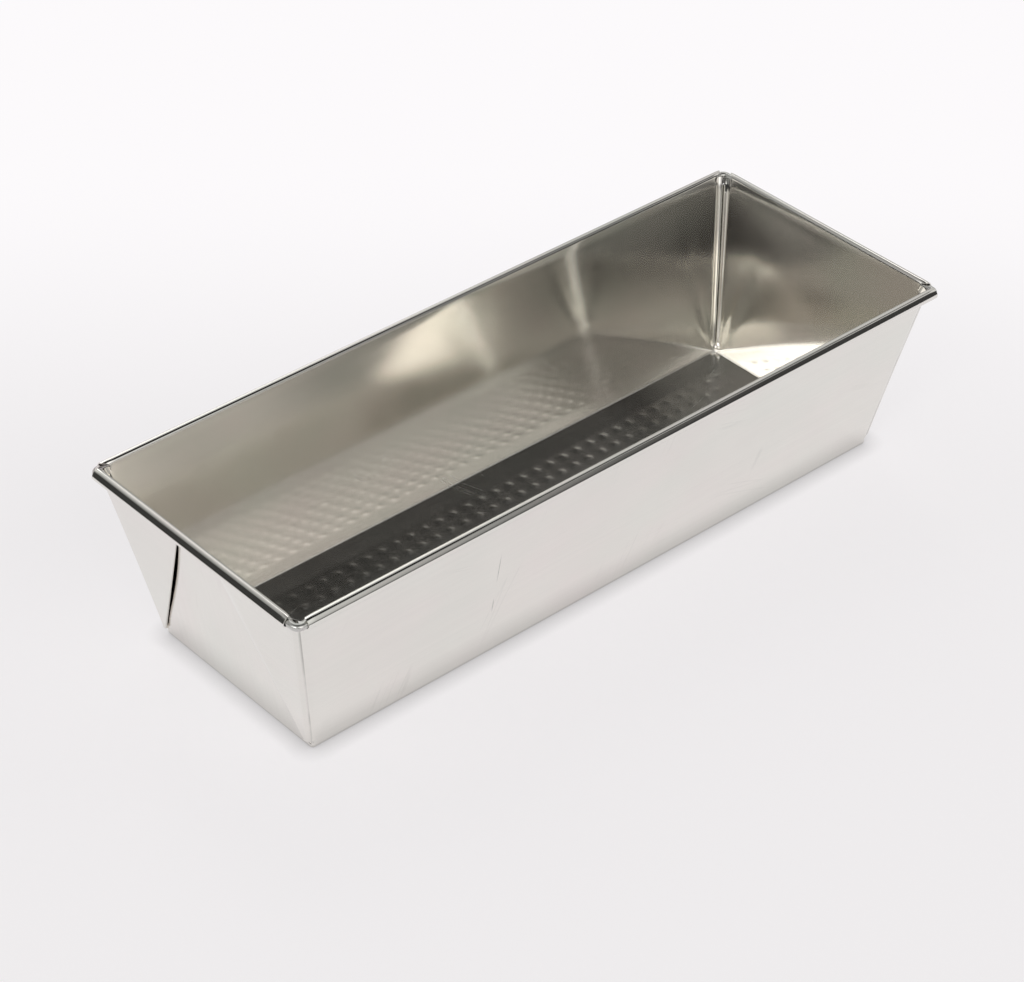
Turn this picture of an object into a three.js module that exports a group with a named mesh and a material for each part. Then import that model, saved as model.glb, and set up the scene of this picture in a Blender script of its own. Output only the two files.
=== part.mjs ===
// Loaf pan folded from one sheet of tinplate, with a steel wire rolled into its rim.
// Millimetres, +Z up, +X along the pan. The origin is the middle of the underside.
import * as THREE from 'three';

// Driving dimensions of the pan
const INSIDE_TOP_LENGTH = 300;    // between the end walls, level with the rim wire
const INSIDE_TOP_WIDTH = 109;     // between the long walls, level with the rim wire
const INSIDE_BASE_LENGTH = 274;   // between the end walls, at the floor
const INSIDE_BASE_WIDTH = 84;     // between the long walls, at the floor
const OVERALL_HEIGHT = 73.5;      // from the underside to the top of the rim
const SHEET = 0.4;                // tinplate thickness

// Driving dimensions of the bends and the corner flaps
const FLOOR_BEND_RADIUS = 0.6;    // inside, between floor and walls
const FLOOR_CORNER_RADIUS = 0.5;  // in plan, of the flat floor
const RIM_CORNER_RADIUS = 2.6;    // in plan, inside, where two walls meet at the rim
const FOLD_RADIUS = 0.25;         // inside, where a wall turns into its flap
const FLAP_GAP = 0.2;             // between the two layers of a flap, and from the flap to its wall
const FOLD_CLOSED_HEIGHT = 5;     // the layers of a flap lie together above this height

// Driving dimensions of the wired rim
const WIRE_DIAMETER = 2.8;
const WIRE_CLEARANCE = 0.2;       // between the wire and the hem that wraps it, and below the hem
const WIRE_CORNER_RADIUS = 2.2;   // centreline of the wire
const WIRE_BUTT_GAP = 0.5;        // between the two ends of the wire
const HEM_WRAP = THREE.MathUtils.degToRad(300);
const HEM_SETBACK = 0.4;          // from a corner to the end of a hem
const CORNER_DROP = 1;            // from the top of the rim to the top edge of the round corners

// Facets
const BEND_STEPS = 4;
const CORNER_STEPS = 3;
const LIP_STEPS = 2;
const FLAP_BEND_STEPS = 4;
const ROOT_LIP_STEPS = 4;
const CREASE_STEPS = 4;
const FOLD_ROWS = 6;
const HEM_STEPS = 12;
const WIRE_SIDES = 10;
const WIRE_CORNER_STEPS = 6;
const WALL_COLUMNS = 2;           // points of a wall between its middle and the corner fold
const SAME_POINT = 1e4;           // points that agree to a ten-thousandth are one point

// Rim: the hem's mid-sheet circle and the height of the wire's centre
const HEM_RADIUS = WIRE_DIAMETER / 2 + WIRE_CLEARANCE + SHEET / 2;
const WIRE_HEIGHT = OVERALL_HEIGHT - HEM_RADIUS - SHEET / 2;
const NOTCH_HEIGHT = WIRE_HEIGHT - HEM_RADIUS - SHEET / 2 - WIRE_CLEARANCE;
const CORNER_TOP = OVERALL_HEIGHT - CORNER_DROP;

// Walls: how far they lean out from the floor to the rim
const RISE = WIRE_HEIGHT - SHEET;
const END_RUN = (INSIDE_TOP_LENGTH - INSIDE_BASE_LENGTH) / 2;
const LONG_RUN = (INSIDE_TOP_WIDTH - INSIDE_BASE_WIDTH) / 2;
const END_FLARE = Math.atan2(END_RUN, RISE);
const LONG_FLARE = Math.atan2(LONG_RUN, RISE);
const MEAN_FLARE = (END_FLARE + LONG_FLARE) / 2;

// Floor bend: mid-sheet radius, and the height where it runs into the walls
const FLOOR_BEND = FLOOR_BEND_RADIUS + SHEET / 2;
const BEND_TOP = SHEET / 2 + FLOOR_BEND * (1 - Math.sin(MEAN_FLARE));

// Corner flaps: mid-sheet radii, and the crease that halves the gusset of the flat blank
const LAYER_STEP = SHEET + FLAP_GAP;
const CREASE_FOLD = LAYER_STEP / 2;
const INNER_FOLD = FOLD_RADIUS + SHEET / 2;
const OUTER_FOLD = INNER_FOLD + LAYER_STEP;
const END_WALL_EDGE = Math.atan2(LONG_RUN, Math.hypot(RISE, END_RUN));
const LONG_WALL_EDGE = Math.atan2(END_RUN, Math.hypot(RISE, LONG_RUN));
const HALF_GUSSET = (Math.PI / 2 - END_WALL_EDGE - LONG_WALL_EDGE) / 2;
const CREASE_LEAN = HALF_GUSSET - END_WALL_EDGE;
const FLAP_SLOPE = (Math.tan(END_WALL_EDGE) + Math.tan(CREASE_LEAN)) / Math.cos(END_FLARE);

// Mid-sheet distance of a wall from the middle of the pan at a height
const endWall = (z) =>
  INSIDE_BASE_LENGTH / 2 + SHEET / 2 / Math.cos(END_FLARE) + (z - SHEET) * Math.tan(END_FLARE);
const longWall = (z) =>
  INSIDE_BASE_WIDTH / 2 + SHEET / 2 / Math.cos(LONG_FLARE) + (z - SHEET) * Math.tan(LONG_FLARE);

// Where the wire's centreline runs along the end walls and along the long walls
const WIRE_X = endWall(WIRE_HEIGHT) + HEM_RADIUS / Math.cos(END_FLARE);
const WIRE_Y = longWall(WIRE_HEIGHT) + HEM_RADIUS / Math.cos(LONG_FLARE);

// Mid-sheet radius of the round corner, which widens from the floor to the rim
const cornerRadius = (z) => THREE.MathUtils.mapLinear(
  z, BEND_TOP, WIRE_HEIGHT,
  FLOOR_CORNER_RADIUS + FLOOR_BEND * Math.cos(MEAN_FLARE), RIM_CORNER_RADIUS + SHEET / 2);

// Draws the bent sheet in plan as points on its middle, each with the normal of its outer side.
class FoldPen {
  constructor() {
    this.x = 0;
    this.y = 0;
    this.heading = 0;
    this.points = [];
    this.mark();
  }

  normal() {
    return [-Math.sin(this.heading), Math.cos(this.heading)];
  }

  mark() {
    const [nx, ny] = this.normal();
    this.points.push({ x: this.x, y: this.y, nx, ny });
  }

  forward(length) {
    this.x += length * Math.cos(this.heading);
    this.y += length * Math.sin(this.heading);
    this.mark();
  }

  // A positive turn goes to the left.
  bend(radius, turn, steps) {
    const arm = radius * Math.sign(turn);
    for (let step = 0; step < steps; step += 1) {
      const [fromX, fromY] = this.normal();
      this.heading += turn / steps;
      const [toX, toY] = this.normal();
      this.x += arm * (fromX - toX);
      this.y += arm * (fromY - toY);
      this.mark();
    }
  }
}

// One corner in plan. Halfway round the corner the sheet leaves through a slit, turns round the end
// wall's edge, runs along the outside of the end wall to the crease, and comes back the same way.
// Near the floor all these turns open out, and a plain round corner is left.
function cornerFold(z) {
  const closed = THREE.MathUtils.smoothstep(z, BEND_TOP, FOLD_CLOSED_HEIGHT);
  const halfCorner = Math.PI / 4;
  const rightAngle = Math.PI / 2;
  const radius = cornerRadius(z);
  const sideways = (arc) => arc * (1 - Math.cos(halfCorner));
  const cornerRoom = sideways(radius) - INNER_FOLD * Math.sin(halfCorner);
  const innerRoot = Math.max(0, LAYER_STEP - INNER_FOLD + cornerRoom);
  const outerRoot = innerRoot + INNER_FOLD;
  const reach = FLAP_SLOPE * (z - SHEET) - sideways(radius + INNER_FOLD) - OUTER_FOLD - CREASE_FOLD;
  const depth = Math.max(0, reach);

  const pen = new FoldPen();
  pen.bend(radius, -halfCorner, CORNER_STEPS);
  pen.bend(INNER_FOLD, halfCorner * closed, LIP_STEPS);
  pen.forward(outerRoot * closed);
  pen.bend(OUTER_FOLD, -rightAngle * closed, FLAP_BEND_STEPS);
  pen.forward(depth);
  pen.bend(CREASE_FOLD, -2 * rightAngle * closed, CREASE_STEPS);
  pen.forward(depth);
  pen.bend(INNER_FOLD, rightAngle * closed, FLAP_BEND_STEPS);
  pen.forward(innerRoot * closed);
  pen.bend(INNER_FOLD, (rightAngle + halfCorner) * closed, ROOT_LIP_STEPS);
  pen.bend(radius, -halfCorner, CORNER_STEPS);
  const shiftX = endWall(z) - pen.x;
  const shiftY = longWall(z);
  return pen.points.map((point) => ({ ...point, x: point.x + shiftX, y: point.y + shiftY }));
}

// The hems stop where the wire starts to bend, or at the corner fold if that comes first.
const NOTCH_CORNER = cornerFold(NOTCH_HEIGHT);
const LONG_HEM_END = Math.min(WIRE_X - WIRE_CORNER_RADIUS, NOTCH_CORNER.at(0).x) - HEM_SETBACK;
const END_HEM_END = Math.min(WIRE_Y - WIRE_CORNER_RADIUS, NOTCH_CORNER.at(-1).y) - HEM_SETBACK;
const LONG_INSET = NOTCH_CORNER.at(0).x - LONG_HEM_END;
const END_INSET = NOTCH_CORNER.at(-1).y - END_HEM_END;

// A quarter of the pan in plan, from the middle of a long wall to the middle of an end wall.
function quarterPlan(z) {
  const corner = cornerFold(z);
  const first = corner.at(0);
  const last = corner.at(-1);
  return [
    { ...first, x: 0 },
    { ...first, x: first.x - LONG_INSET },
    ...corner,
    { ...last, y: last.y - END_INSET },
    { ...last, y: 0 },
  ];
}

// A row of the floor bend. The tilt of its normal goes from a right angle at the floor to the flare.
function bendRow(tilt) {
  const inward = FLOOR_BEND * (Math.cos(tilt) - Math.cos(MEAN_FLARE));
  const z = SHEET / 2 + FLOOR_BEND * (1 - Math.sin(tilt));
  return quarterPlan(BEND_TOP).map(({ x, y, nx, ny }) => ({
    point: new THREE.Vector3(x + nx * inward, y + ny * inward, z),
    normal: new THREE.Vector3(nx * Math.cos(tilt), ny * Math.cos(tilt), -Math.sin(tilt)),
  }));
}

// A row of the walls and flaps. Each normal is square to the way that the leaning walls rise.
function wallRow(z) {
  return quarterPlan(z).map(({ x, y, nx, ny }) => {
    const lean = nx * Math.tan(END_FLARE) + ny * Math.tan(LONG_FLARE);
    return {
      point: new THREE.Vector3(x, y, z),
      normal: new THREE.Vector3(nx, ny, -lean).normalize(),
    };
  });
}

// A row of the two halves of the round corner alone, which rise beside the bare bend of the wire.
function cornerRow(z) {
  const row = wallRow(z);
  const onArc = (column) => column >= WALL_COLUMNS && column <= WALL_COLUMNS + CORNER_STEPS;
  return row.map((place, column) =>
    (onArc(column) || onArc(row.length - 1 - column) ? place : null));
}

// A point of a hem, rolled outwards round the wire by an angle from where it leaves the wall.
function hemPoint(flare, wireAcross, rolled, place) {
  const across = -Math.cos(flare + rolled);
  const up = Math.sin(flare + rolled);
  return {
    point: place(wireAcross + HEM_RADIUS * across, WIRE_HEIGHT + HEM_RADIUS * up),
    normal: place(-across, -up).sub(place(0, 0)),
  };
}

// A row of the hems, which the corners don't have.
function hemRow(rolled) {
  const onLongWall = (x) =>
    hemPoint(LONG_FLARE, WIRE_Y, rolled, (across, z) => new THREE.Vector3(x, across, z));
  const onEndWall = (y) =>
    hemPoint(END_FLARE, WIRE_X, rolled, (across, z) => new THREE.Vector3(across, y, z));
  const bare = NOTCH_CORNER.map(() => null);
  return [onLongWall(0), onLongWall(LONG_HEM_END), ...bare, onEndWall(END_HEM_END), onEndWall(0)];
}

// Values from one end of a range to the other
const spread = (from, to, steps) =>
  Array.from({ length: steps + 1 }, (_, step) => THREE.MathUtils.lerp(from, to, step / steps));

// A quarter of the sheet in two bands of rows: from the edge of the floor to the lip of the hem,
// and the top of the round corner
const QUARTER_BANDS = [
  [
    ...spread(Math.PI / 2, MEAN_FLARE, BEND_STEPS).slice(0, -1).map(bendRow),
    ...spread(BEND_TOP, FOLD_CLOSED_HEIGHT, FOLD_ROWS).map(wallRow),
    wallRow(NOTCH_HEIGHT),
    ...spread(0, HEM_WRAP, HEM_STEPS).map(hemRow),
  ],
  [cornerRow(NOTCH_HEIGHT), cornerRow(CORNER_TOP)],
];

// The four quarters clockwise from above: the signs of x and y, and whether the order turns round
const QUARTERS = [
  { signX: 1, signY: 1, reversed: false },
  { signX: 1, signY: -1, reversed: true },
  { signX: -1, signY: -1, reversed: false },
  { signX: -1, signY: 1, reversed: true },
];

// Mirrors a quarter's row into a ring round the pan.
function ringRow(row) {
  return QUARTERS.flatMap(({ signX, signY, reversed }) => {
    const mirror = new THREE.Vector3(signX, signY, 1);
    const columns = row.map((place) => place && {
      point: place.point.clone().multiply(mirror),
      normal: place.normal.clone().multiply(mirror),
    });
    return (reversed ? columns.reverse() : columns).slice(0, -1);
  });
}

// Collects the points of the sheet's middle, with the places that coincide as one point.
function weldBands(bands) {
  const places = [];
  const known = new Map();
  const number = (place) => {
    const key = place.point.toArray().map((value) => Math.round(value * SAME_POINT)).join(' ');
    if (!known.has(key)) {
      known.set(key, places.length);
      places.push(place);
    }
    return known.get(key);
  };
  const numbered = bands.map((rows) =>
    rows.map((row) => row.map((place) => (place ? number(place) : null))));
  return { places, numbered };
}

// Triangles between the rows, with their outer side towards the outside of the pan
function rowTriangles(numbered) {
  const triangles = [];
  for (let row = 0; row + 1 < numbered.length; row += 1) {
    const lower = numbered[row];
    const upper = numbered[row + 1];
    lower.forEach((_, column) => {
      const next = (column + 1) % lower.length;
      const corners = [lower[column], lower[next], upper[column], upper[next]];
      if (!corners.includes(null)) {
        const [a, b, c, d] = corners;
        triangles.push([a, c, b], [b, c, d]);
      }
    });
  }
  return triangles.filter(([a, b, c]) => a !== b && b !== c && c !== a);
}

// Triangles of the floor, inside the lowest row, with their outer side down
function floorTriangles(places, lowest) {
  const edge = [...new Set(lowest)];
  const contour = edge.map((index) => new THREE.Vector2(places[index].point.x, places[index].point.y));
  return THREE.ShapeUtils.triangulateShape(contour, []).map((corners) => {
    const [a, b, c] = corners;
    const upwards = THREE.ShapeUtils.area([contour[a], contour[b], contour[c]]) > 0;
    return (upwards ? [a, c, b] : [a, b, c]).map((corner) => edge[corner]);
  });
}

function indexedGeometry(points, triangles) {
  const geometry = new THREE.BufferGeometry();
  const coordinates = points.flatMap((point) => point.toArray());
  geometry.setAttribute('position', new THREE.Float32BufferAttribute(coordinates, 3));
  geometry.setIndex(triangles.flat());
  geometry.computeVertexNormals();
  return geometry;
}

// Gives a surface the sheet's thickness: its outer and inner sides, and a strip along each open edge.
function thickened(places, triangles) {
  const side = (offset) =>
    places.map(({ point, normal }) => point.clone().addScaledVector(normal, offset));
  const inner = places.length;
  const edgeName = (from, to) => `${from} ${to}`;
  const edges = triangles.flatMap(([a, b, c]) => [[a, b], [b, c], [c, a]]);
  const known = new Set(edges.map(([from, to]) => edgeName(from, to)));
  const open = edges.filter(([from, to]) => !known.has(edgeName(to, from)));
  return indexedGeometry([...side(SHEET / 2), ...side(-SHEET / 2)], [
    ...triangles,
    ...triangles.map(([a, b, c]) => [a + inner, c + inner, b + inner]),
    ...open.flatMap(([from, to]) => [[to, from, from + inner], [to, from + inner, to + inner]]),
  ]);
}

function foldedSheetGeometry() {
  const { places, numbered } = weldBands(QUARTER_BANDS.map((rows) => rows.map(ringRow)));
  const floorEdge = numbered[0][0];
  return thickened(places, [...numbered.flatMap(rowTriangles), ...floorTriangles(places, floorEdge)]);
}

// The wire's centreline, clockwise from one butt end to the other, with its outward direction
function wireStations() {
  const butt = (x) => ({ x, y: WIRE_Y, outward: Math.PI / 2 });
  const corners = QUARTERS.flatMap(({ signX, signY }, quarter) => {
    const start = Math.PI / 2 * (1 - quarter);
    return spread(start, start - Math.PI / 2, WIRE_CORNER_STEPS).map((outward) => ({
      x: signX * (WIRE_X - WIRE_CORNER_RADIUS) + WIRE_CORNER_RADIUS * Math.cos(outward),
      y: signY * (WIRE_Y - WIRE_CORNER_RADIUS) + WIRE_CORNER_RADIUS * Math.sin(outward),
      outward,
    }));
  });
  return [butt(WIRE_BUTT_GAP / 2), ...corners, butt(-WIRE_BUTT_GAP / 2)];
}

// A round section swept along the wire's stations and closed at both ends
function wireGeometry() {
  const stations = wireStations();
  const angles = spread(0, 2 * Math.PI, WIRE_SIDES).slice(0, -1);
  const points = stations.flatMap(({ x, y, outward }) => angles.map((angle) => {
    const across = WIRE_DIAMETER / 2 * Math.cos(angle);
    const up = WIRE_DIAMETER / 2 * Math.sin(angle);
    return new THREE.Vector3(
      x + across * Math.cos(outward), y + across * Math.sin(outward), WIRE_HEIGHT + up);
  }));
  const last = (stations.length - 1) * WIRE_SIDES;
  const triangles = [];
  for (let side = 0; side < WIRE_SIDES; side += 1) {
    const next = (side + 1) % WIRE_SIDES;
    for (let base = 0; base < last; base += WIRE_SIDES) {
      const [a, b, c, d] = [base + side, base + next, base + side + WIRE_SIDES, base + next + WIRE_SIDES];
      triangles.push([a, b, c], [b, d, c]);
    }
    if (side > 0 && next > 0) {
      triangles.push([0, next, side], [last, last + side, last + next]);
    }
  }
  return indexedGeometry(points, triangles);
}

function namedMesh(name, geometry, finish) {
  const mesh = new THREE.Mesh(geometry, new THREE.MeshStandardMaterial(finish));
  mesh.name = name;
  return mesh;
}

const loafPan = new THREE.Group();
loafPan.add(
  namedMesh('folded_sheet', foldedSheetGeometry(), { color: 0xcfccc4, roughness: 0.22, metalness: 1 }),
  namedMesh('rim_wire', wireGeometry(), { color: 0xb4b3ae, roughness: 0.3, metalness: 1 }),
);

export default loafPan;
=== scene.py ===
"""Looks of a loaf pan folded from one sheet of tinplate, with a steel wire rolled into its rim."""

import math
from typing import NamedTuple

import bpy
import numpy as np
from bpy.props import FloatProperty, FloatVectorProperty, IntProperty, PointerProperty
from mathutils import Matrix, Vector
from mathutils.geometry import tessellate_polygon


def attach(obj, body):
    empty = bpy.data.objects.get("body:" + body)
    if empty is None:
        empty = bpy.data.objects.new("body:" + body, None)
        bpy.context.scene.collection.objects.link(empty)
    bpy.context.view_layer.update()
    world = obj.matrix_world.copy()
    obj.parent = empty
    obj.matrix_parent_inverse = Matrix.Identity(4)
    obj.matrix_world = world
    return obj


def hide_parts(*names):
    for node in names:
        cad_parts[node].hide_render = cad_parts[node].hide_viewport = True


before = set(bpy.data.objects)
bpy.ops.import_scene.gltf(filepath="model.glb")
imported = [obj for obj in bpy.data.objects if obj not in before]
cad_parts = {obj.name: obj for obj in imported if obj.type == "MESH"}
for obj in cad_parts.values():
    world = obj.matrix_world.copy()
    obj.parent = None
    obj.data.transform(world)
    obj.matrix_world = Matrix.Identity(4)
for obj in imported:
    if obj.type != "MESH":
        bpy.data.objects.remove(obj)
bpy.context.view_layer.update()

bl_info = {
    "name": "Folded Loaf Pan",
    "version": (1, 0, 0),
    "blender": (4, 5, 0),
    "location": "View3D > Sidebar > Loaf Pan",
    "description": "Dresses a folded tinplate loaf pan with a wired rim and an embossed base",
    "category": "Add Mesh",
}

MM = 0.001

# Facets of the sheet and of the wire
BEND_STEPS = 6
FOLD_ROWS = 10
WALL_ROWS = 20
HEM_TOP_STEPS = 12
HEM_NOSE_STEPS = 6
HEM_TUCK_STEPS = 8
LONG_STEPS = 14
END_STEPS = 5
FINE_STEPS = 20
FINE_LENGTH = 24 * MM
LONG_COLUMNS = LONG_STEPS + FINE_STEPS
CORNER_STEPS = 6
LIP_STEPS = 3
FLAP_BEND_STEPS = 6
ROOT_LIP_STEPS = 6
CREASE_STEPS = 6
FLAP_COLUMNS = 8
WIRE_SIDES = 24
WIRE_CORNER_STEPS = 12
DOT_SIDES = 16
DOT_RINGS = 3
SAME_POINT = 1e-7
MERGE_REACH = 0.01 * MM
SHARP_EDGE = math.radians(50)

RIGHT_ANGLE = math.pi / 2
HALF_CORNER = math.pi / 4


def length(label, description, millimetres):
    """A property that holds a length."""
    return FloatProperty(name=label, description=description, default=millimetres * MM, unit="LENGTH")


class LOAFPAN_PG_sheet(bpy.types.PropertyGroup):
    """Sizes of the folded sheet."""

    inside_top_length: length(
        "Inside top length", "Between the end walls, level with the rim wire", 300)
    inside_top_width: length("Inside top width", "Between the long walls, level with the rim wire", 109)
    inside_base_length: length("Inside base length", "Between the end walls, at the floor", 274)
    inside_base_width: length("Inside base width", "Between the long walls, at the floor", 84)
    end_spring: length("End spring", "How far the end walls have sprung outwards at the rim", 0.65)
    long_spring: length("Long spring", "How far the long walls have sprung outwards at the rim", 1.0)
    lean: FloatVectorProperty(
        name="Lean", description="How far the rim sits off the middle of the floor",
        size=2, default=(0.37 * MM, -0.21 * MM), unit="LENGTH")
    height: length("Height", "From the underside to the top of the rim", 73.5)
    thickness: length("Thickness", "Of the tinplate", 0.4)
    floor_bend_radius: length("Floor bend radius", "Inside, between the floor and the walls", 0.6)
    floor_corner_radius: length("Floor corner radius", "In plan, of the flat floor", 0.5)
    rim_corner_radius: length(
        "Rim corner radius", "In plan, inside, where two walls meet at the rim", 2.6)
    fold_radius: length("Fold radius", "Inside, where a wall turns into its flap", 0.25)
    flap_gap: length("Flap gap", "Between the layers of a flap, and from the flap to its wall", 0.2)
    fold_closed_height: length(
        "Fold closed height", "The layers of a flap lie together above this height", 5)
    corner_drop: length(
        "Corner drop", "From the top of the rim to the top edge of the round corners", 1.8)


class LOAFPAN_PG_rim(bpy.types.PropertyGroup):
    """Sizes of the wired rim."""

    wire_diameter: length("Wire diameter", "Of the steel wire in the rim", 2.8)
    wire_clearance: length("Wire clearance", "Between the wire and the hem that wraps it", 0.2)
    wire_corner_radius: length("Wire corner radius", "Of the wire's centreline", 2.2)
    wire_butt_gap: length("Wire butt gap", "Between the two ends of the wire", 0.5)
    wire_drop: length("Wire drop", "From the top of the rim to the wire's centreline", 2.6)
    hem_face_tilt: FloatProperty(
        name="Hem face tilt", description="How far the flat outer face of a hem leans back",
        default=math.radians(34), subtype="ANGLE")
    end_face_drop: length("End face drop", "How far the face of an end hem goes on past the wire", 0.85)
    long_face_drop: length(
        "Long face drop", "How far the face of a long hem goes on past the wire", 0.15)
    end_nose_radius: length(
        "End nose radius", "Outside, where the face of an end hem turns under the wire", 1.2)
    long_nose_radius: length(
        "Long nose radius", "Outside, where the face of a long hem turns under the wire", 1.75)
    hem_wrap: FloatProperty(
        name="Hem wrap", description="How far the hem goes round the wire",
        default=math.radians(300), subtype="ANGLE")
    hem_setback: length("Hem setback", "From a corner to the end of a hem", 0.4)


class LOAFPAN_PG_emboss(bpy.types.PropertyGroup):
    """Sizes of the dots that are pressed into the floor."""

    pitch: length("Dot pitch", "From dot to dot, along the pan and across it", 7)
    dot_width: length("Dot width", "Across the foot of a dot", 4.6)
    dot_height: length("Dot height", "How far a dot stands up from the floor", 0.15)
    columns: IntProperty(
        name="Dots along", description="Dots in a row along the pan", default=37, min=2)
    rows: IntProperty(
        name="Dots across", description="Dots in a row across the pan", default=9, min=2)


class LOAFPAN_PG_finish(bpy.types.PropertyGroup):
    """Colours and gloss of the metals."""

    tin_colour: FloatVectorProperty(
        name="Tin colour", description="Of the bright tinplate",
        default=(0.81, 0.793, 0.754), subtype="COLOR", min=0, max=1)
    tin_roughness: FloatProperty(
        name="Tin roughness", description="Of the clean rolled surface",
        default=0.09, min=0, max=1, subtype="FACTOR")
    floor_roughness: FloatProperty(
        name="Floor roughness", description="Of the floor, which the pressing has dulled",
        default=0.24, min=0, max=1, subtype="FACTOR")
    wire_colour: FloatVectorProperty(
        name="Wire colour", description="Of the drawn steel wire",
        default=(0.60, 0.59, 0.57), subtype="COLOR", min=0, max=1)
    wire_roughness: FloatProperty(
        name="Wire roughness", description="Of the drawn surface",
        default=0.28, min=0, max=1, subtype="FACTOR")


def smoothstep(low, high, at):
    share = min(max((at - low) / (high - low), 0.0), 1.0)
    return share * share * (3 - 2 * share)


def lerp(start, end, share):
    return start + (end - start) * share


def spread(start, end, steps):
    """Values from one end of a range to the other."""
    return [lerp(start, end, step / steps) for step in range(steps + 1)]


def graded(reach, steps):
    """Places along half a wall from its middle, with fine steps near the corner."""
    fine_from = reach - FINE_LENGTH
    return [*spread(0.0, fine_from, steps)[:-1], *spread(fine_from, reach, FINE_STEPS)]


def polar(angle, reach):
    return reach * math.cos(angle), reach * math.sin(angle)


def sideways(radius):
    """How far an arc of half a corner strays from its tangent."""
    return radius * (1 - math.cos(HALF_CORNER))


class FoldPen:
    """Draws the bent sheet in plan as points on its middle.

    Each point is x, y, the normal of the sheet's outer side, and its share of the flap's lift.
    """

    def __init__(self):
        self.x = 0.0
        self.y = 0.0
        self.heading = 0.0
        self.points = []
        self.mark(0.0)

    def normal(self):
        return -math.sin(self.heading), math.cos(self.heading)

    def mark(self, lift):
        self.points.append((self.x, self.y, *self.normal(), lift))

    def forward(self, distance, steps=1, lift_from=0.0, lift_to=0.0):
        for step in range(1, steps + 1):
            self.x += distance / steps * math.cos(self.heading)
            self.y += distance / steps * math.sin(self.heading)
            self.mark(lerp(lift_from, lift_to, step / steps))

    def bend(self, radius, turn, steps, lift=0.0):
        """A positive turn goes to the left."""
        arm = math.copysign(radius, turn)
        for _ in range(steps):
            from_x, from_y = self.normal()
            self.heading += turn / steps
            to_x, to_y = self.normal()
            self.x += arm * (from_x - to_x)
            self.y += arm * (from_y - to_y)
            self.mark(lift)


class Quarter(NamedTuple):
    """One quarter of the pan: its side in x and y, and how its corner came out.

    The flap stands off the end wall by its lift, and each hem overhangs its wall at the corner.
    """

    sign_x: int
    sign_y: int
    flap_lift: float
    long_overhang: float
    end_overhang: float

    @property
    def reversed(self):
        return self.sign_x * self.sign_y < 0


# The quarters clockwise from above. No two of the corners came out alike.
QUARTERS = (
    Quarter(1, 1, 0.25 * MM, 3.6 * MM, 2.6 * MM),
    Quarter(1, -1, 0.35 * MM, 4.7 * MM, 2.9 * MM),
    Quarter(-1, -1, 0.15 * MM, 2.3 * MM, 2.3 * MM),
    Quarter(-1, 1, 0.42 * MM, 2.9 * MM, 4.9 * MM),
)


class HemProfile:
    """A hem across. It folds over, comes down over the wire in a flat face, and tucks under it.

    Each row is its place across and up from the wire, the direction it faces, and its share of the
    overhang.
    """

    def __init__(self, rim, hem_radius, half, flare, face_drop, nose_radius):
        wall = math.pi - flare
        tilt = rim.hem_face_tilt
        middle = (wall + tilt) / 2
        spread_out = math.cos((wall - tilt) / 2)
        steepness = math.sin(middle) / spread_out
        top = (hem_radius * steepness - rim.wire_drop + half) / (steepness - 1)
        nose = nose_radius - half
        to_nose = hem_radius - nose
        tuck = math.atan2(face_drop, to_nose)
        top_centre = polar(middle, (hem_radius - top) / spread_out)
        nose_centre = polar(tilt - tuck, math.hypot(face_drop, to_nose))
        under = tilt - 2 * tuck
        self.rows = []
        self.arc(top_centre, top, spread(wall, tilt, HEM_TOP_STEPS))
        self.arc(nose_centre, nose, spread(tilt, under, HEM_NOSE_STEPS))
        self.arc((0.0, 0.0), hem_radius, spread(under, wall - rim.hem_wrap, HEM_TUCK_STEPS))

    def arc(self, centre, radius, angles):
        for angle in angles:
            across, rise = polar(angle, radius)
            overhang = 1 - smoothstep(RIGHT_ANGLE, math.pi, angle)
            self.rows.append((centre[0] + across, centre[1] + rise, *polar(angle, 1.0), overhang))


class Dent(NamedTuple):
    """A shallow ridge in a wall, or a hollow where its depth is below nothing.

    It fans out from a base corner, leans away from the corner by an angle in degrees, spreads as it
    rises, and goes from its full depth at its start to nothing at its reach.
    """

    lean: float
    depth: float
    spread_rate: float
    start: float
    reach: float

    def at(self, from_corner, z):
        width = self.spread_rate * z + DENT_FOOT_WIDTH
        off = (from_corner - math.tan(math.radians(self.lean)) * z) / width
        fade = smoothstep(self.start / 2, self.start, z) * (1 - smoothstep(self.start, self.reach, z))
        return self.depth * math.exp(-off * off) * fade


# What folding the corners does to the walls beside them
DENT_FOOT_WIDTH = 0.4 * MM
LONG_WALL_DENTS = (
    Dent(15, 0.12 * MM, 0.07, 8 * MM, 30 * MM),
    Dent(28, -0.06 * MM, 0.12, 6 * MM, 24 * MM),
)
END_WALL_DENTS = (
    Dent(20, 0.2 * MM, 0.10, 10 * MM, 58 * MM),
    Dent(38, -0.06 * MM, 0.12, 6 * MM, 24 * MM),
)
WAVE_LENGTH = 83 * MM
WAVE_DEPTH = 0.05 * MM
END_WALL_BOW = -0.6 * MM

# A power below one, which puts the widest part of a flap's gap below the middle of the wall
FLAP_GAP_POWER = 0.7

# How the rim's corners close up round the wire
CORNER_PUSH = 0.35 * MM
CRIMP_LENGTH = 2.5 * MM
CRIMP_SHARE = 0.25
SLIT_CLOSED = 0.3


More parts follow.
